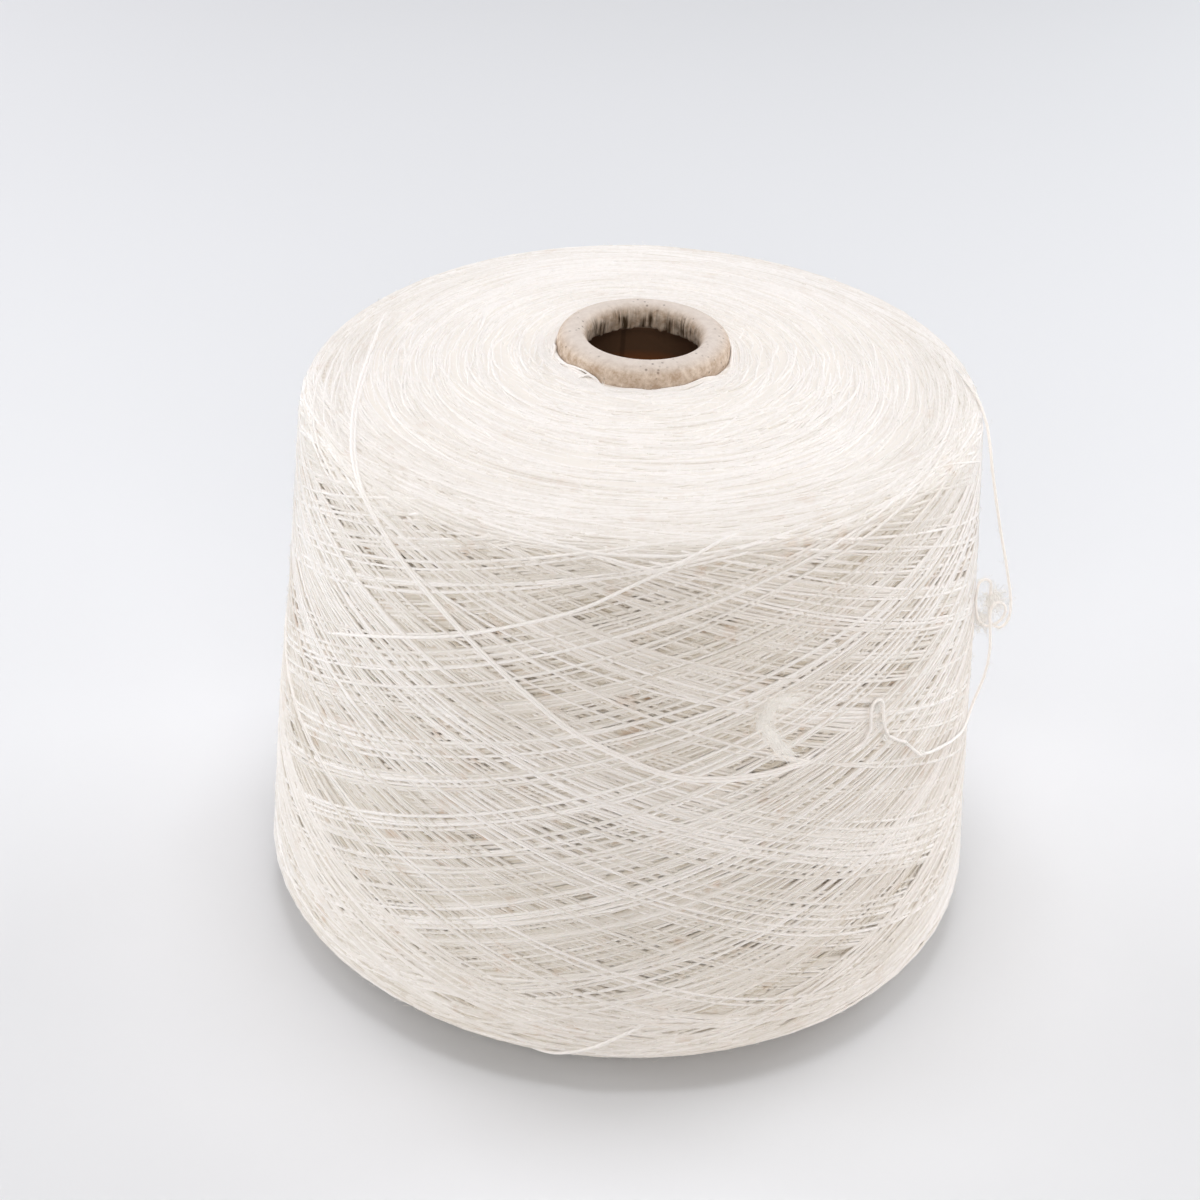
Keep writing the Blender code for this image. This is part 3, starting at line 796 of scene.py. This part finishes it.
# painted highlight: the rounded crest that faces up is painted lighter
crest_painted_highlight = add_node(
    tree, "ShaderNodeMapRange", {"From Min": 167.2 * MM, "From Max": 168.9 * MM, "To Max": 0.7},
    {"Value": axes["Z"]}).outputs[0]
pulp_colour = add_node(
    tree, "ShaderNodeMix", {"data_type": "RGBA", 7: linear("#E3D9D1")}, {0: crest_painted_highlight, 6: pulp_colour.outputs[2]})
grit = add_node(tree, "ShaderNodeTexVoronoi", {"Scale": 560.0}, {"Vector": place}).outputs["Distance"]
speck = add_node(tree, "ShaderNodeMapRange", {"From Min": 0.24, "From Max": 0.1, "To Max": 0.6}, {"Value": grit})
rare = add_node(tree, "ShaderNodeTexNoise", {"Scale": 150.0}, {"Vector": place}).outputs["Fac"]
rare = add_node(tree, "ShaderNodeMapRange", {"From Min": 0.48, "From Max": 0.6}, {"Value": rare})
speck = add_node(
    tree, "ShaderNodeMath", {"operation": "MULTIPLY"}, {0: speck.outputs[0], 1: rare.outputs[0]}).outputs[0]
specked = add_node(
    tree, "ShaderNodeMix", {"data_type": "RGBA", 7: linear("#5A4436")}, {0: speck, 6: pulp_colour.outputs[2]})
streak_place = add_node(tree, "ShaderNodeCombineXYZ", {}, {"X": bearing, "Y": axes["Z"]}).outputs[0]
streak_place = add_node(
    tree, "ShaderNodeVectorMath", {"operation": "MULTIPLY", 1: (16, 60, 1)}, {0: streak_place}).outputs[0]
streaks = add_node(
    tree, "ShaderNodeTexNoise", {"Scale": 1.0, "Detail": 4.0, "Roughness": 0.7},
    {"Vector": streak_place}).outputs["Fac"]
streaks = add_node(tree, "ShaderNodeMapRange", {"From Min": 0.4, "From Max": 0.56}, {"Value": streaks}).outputs[0]
clump_place = add_node(
    tree, "ShaderNodeVectorMath", {"operation": "MULTIPLY", 1: (0.32, 3, 1)}, {0: streak_place}).outputs[0]
clumps = add_node(tree, "ShaderNodeTexNoise", {"Scale": 1.0, "Detail": 1.0}, {"Vector": clump_place}).outputs["Fac"]
clumps = add_node(
    tree, "ShaderNodeMapRange", {"From Min": 0.42, "From Max": 0.6, "To Min": 0.2}, {"Value": clumps}).outputs[0]
streaks = add_node(tree, "ShaderNodeMath", {"operation": "MULTIPLY"}, {0: streaks, 1: clumps}).outputs[0]
# painted shade: dark streaks down the puckers, darker further into the mouth
in_mouth = add_node(
    tree, "ShaderNodeMapRange", {"From Min": 16.9 * MM, "From Max": 15.4 * MM}, {"Value": flat_radius}).outputs[0]
low_down = add_node(
    tree, "ShaderNodeMapRange", {"From Min": 168.6 * MM, "From Max": 166 * MM}, {"Value": axes["Z"]}).outputs[0]
dark = add_node(tree, "ShaderNodeMath", {"operation": "MULTIPLY"}, {0: in_mouth, 1: low_down}).outputs[0]
dark = add_node(tree, "ShaderNodeMath", {"operation": "MULTIPLY"}, {0: dark, 1: streaks}).outputs[0]
streaked = add_node(
    tree, "ShaderNodeMix", {"data_type": "RGBA", 7: linear("#4B3A27")}, {0: dark, 6: specked.outputs[2]})
below_ledge = add_node(
    tree, "ShaderNodeMapRange", {"From Min": 162.5 * MM, "From Max": 161.5 * MM}, {"Value": axes["Z"]}).outputs[0]
shell = add_node(
    tree, "ShaderNodeMath", {"operation": "MULTIPLY_ADD", 1: CONE_TAPER}, {0: axes["Z"], 2: flat_radius}).outputs[0]
inner_side = add_node(
    tree, "ShaderNodeMapRange",
    {"From Min": cone_radius(0) - 1.2 * MM, "From Max": cone_radius(0) - 2.2 * MM}, {"Value": shell}).outputs[0]
inner = add_node(tree, "ShaderNodeMath", {"operation": "MULTIPLY"}, {0: below_ledge, 1: inner_side}).outputs[0]
# painted shade and painted light: inside, the board is painted a darker brown, turning warmer and lighter lower down
# where light bounces
deep_painted_light = add_node(
    tree, "ShaderNodeMapRange", {"From Min": 154 * MM, "From Max": 151 * MM}, {"Value": axes["Z"]}).outputs[0]
inner_colour = add_node(
    tree, "ShaderNodeMix", {"data_type": "RGBA", 6: linear("#765943"), 7: linear("#A66A42")}, {0: deep_painted_light})
off_seam = add_node(tree, "ShaderNodeMath", {"operation": "SUBTRACT", 1: SEAM_BEARING}, {0: bearing})
off_seam = add_node(tree, "ShaderNodeMath", {"operation": "ABSOLUTE"}, {0: off_seam.outputs[0]})
seam = add_node(
    tree, "ShaderNodeMapRange", {"From Min": 0.045, "From Max": 0.02, "To Max": 0.4},
    {"Value": off_seam.outputs[0]}).outputs[0]
inner_colour = add_node(
    tree, "ShaderNodeMix", {"data_type": "RGBA", 7: linear("#33231A")}, {0: seam, 6: inner_colour.outputs[2]})
board_colour = add_node(
    tree, "ShaderNodeMix", {"data_type": "RGBA"}, {0: inner, 6: streaked.outputs[2], 7: inner_colour.outputs[2]})
bump = add_node(tree, "ShaderNodeBump", {"Strength": 0.8, "Distance": 0.3 * MM}, {"Height": pulp})
shader = tree.nodes["Principled BSDF"]
shader.inputs["Roughness"].default_value = 0.9
shader.inputs["Specular IOR Level"].default_value = 0.2
tree.links.new(board_colour.outputs[2], shader.inputs["Base Color"])
tree.links.new(bump.outputs["Normal"], shader.inputs["Normal"])
rolled_cone.data.materials.append(board)
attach(rolled_cone, "root")
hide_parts("paper_cone")

# ---------------------------------------------------------------------------
# Floor and light: a plain pale sweep with soft lights overhead, in front, at both
# back corners and low at both sides. They aren't part of the object.

FLOOR_REACH = 6
shape = bmesh.new()
bmesh.ops.create_grid(shape, x_segments=2, y_segments=2, size=FLOOR_REACH)
mesh = bpy.data.meshes.new("floor")
shape.to_mesh(mesh)
shape.free()
floor = bpy.data.objects.new("floor", mesh)
bpy.context.scene.collection.objects.link(floor)
paper_floor = bpy.data.materials.new("pale_studio_paper")
paper_floor.use_nodes = True
tree = paper_floor.node_tree
place = add_node(tree, "ShaderNodeTexCoord", {}, {}).outputs["Object"]
tone = add_node(tree, "ShaderNodeTexNoise", {"Scale": 3.0}, {"Vector": place}).outputs["Fac"]
floor_colour = add_node(
    tree, "ShaderNodeMix", {"data_type": "RGBA", 6: linear("#E6E6E7"), 7: linear("#E9E9EA")}, {0: tone})
tree.links.new(floor_colour.outputs[2], tree.nodes["Principled BSDF"].inputs["Base Color"])
tree.nodes["Principled BSDF"].inputs["Roughness"].default_value = 0.9
tree.nodes["Principled BSDF"].inputs["Specular IOR Level"].default_value = 0.1
floor.data.materials.append(paper_floor)


def soft_light(name, place, target, size, power, colour):
    """A square studio light at a place, facing a target."""
    lamp = bpy.data.lights.new(name, "AREA")
    lamp.shape = "SQUARE"
    lamp.size = size
    lamp.energy = power
    lamp.color = linear(colour)[:3]
    light = bpy.data.objects.new(name, lamp)
    bpy.context.scene.collection.objects.link(light)
    back = np.array(place) - np.array(target)
    back = back / np.linalg.norm(back)
    right = np.cross((0, 1, 0) if abs(back[2]) > 0.9 else (0, 0, 1), back)
    right = right / np.linalg.norm(right)
    up = np.cross(back, right)
    light.matrix_world = Matrix((*zip(right, up, back, place), (0, 0, 0, 1)))
    light.visible_camera = False


soft_light("overhead_light", (0, 0.05, 1.25), (0, 0, 0.1), 0.5, 6.0, "#FAFBFF")
soft_light("front_light", (0, -1.6, 0.9), (0, 0, 0.06), 1.2, 12.5, "#FFFCF8")
soft_light("back_left_light", (-1.1, 0.8, 0.6), (0, 0, 0.06), 0.9, 7.8, "#F9F9FF")
soft_light("back_right_light", (1.1, 0.8, 0.6), (0, 0, 0.06), 0.9, 9.9, "#F6FAFF")
soft_light("low_left_light", (-1.0, -0.1, 0.2), (0, 0, 0.02), 0.35, 3.2, "#F8FCFF")
soft_light("low_right_light", (1.0, -0.1, 0.2), (0, 0, 0.02), 0.35, 2.3, "#FFFBFA")

world = bpy.data.worlds.new("pale_room")
world.use_nodes = True
world.node_tree.nodes["Background"].inputs["Color"].default_value = linear("#FFFFFF")
world.node_tree.nodes["Background"].inputs["Strength"].default_value = 0.2
bpy.context.scene.world = world
bpy.context.scene.view_settings.view_transform = "Standard"
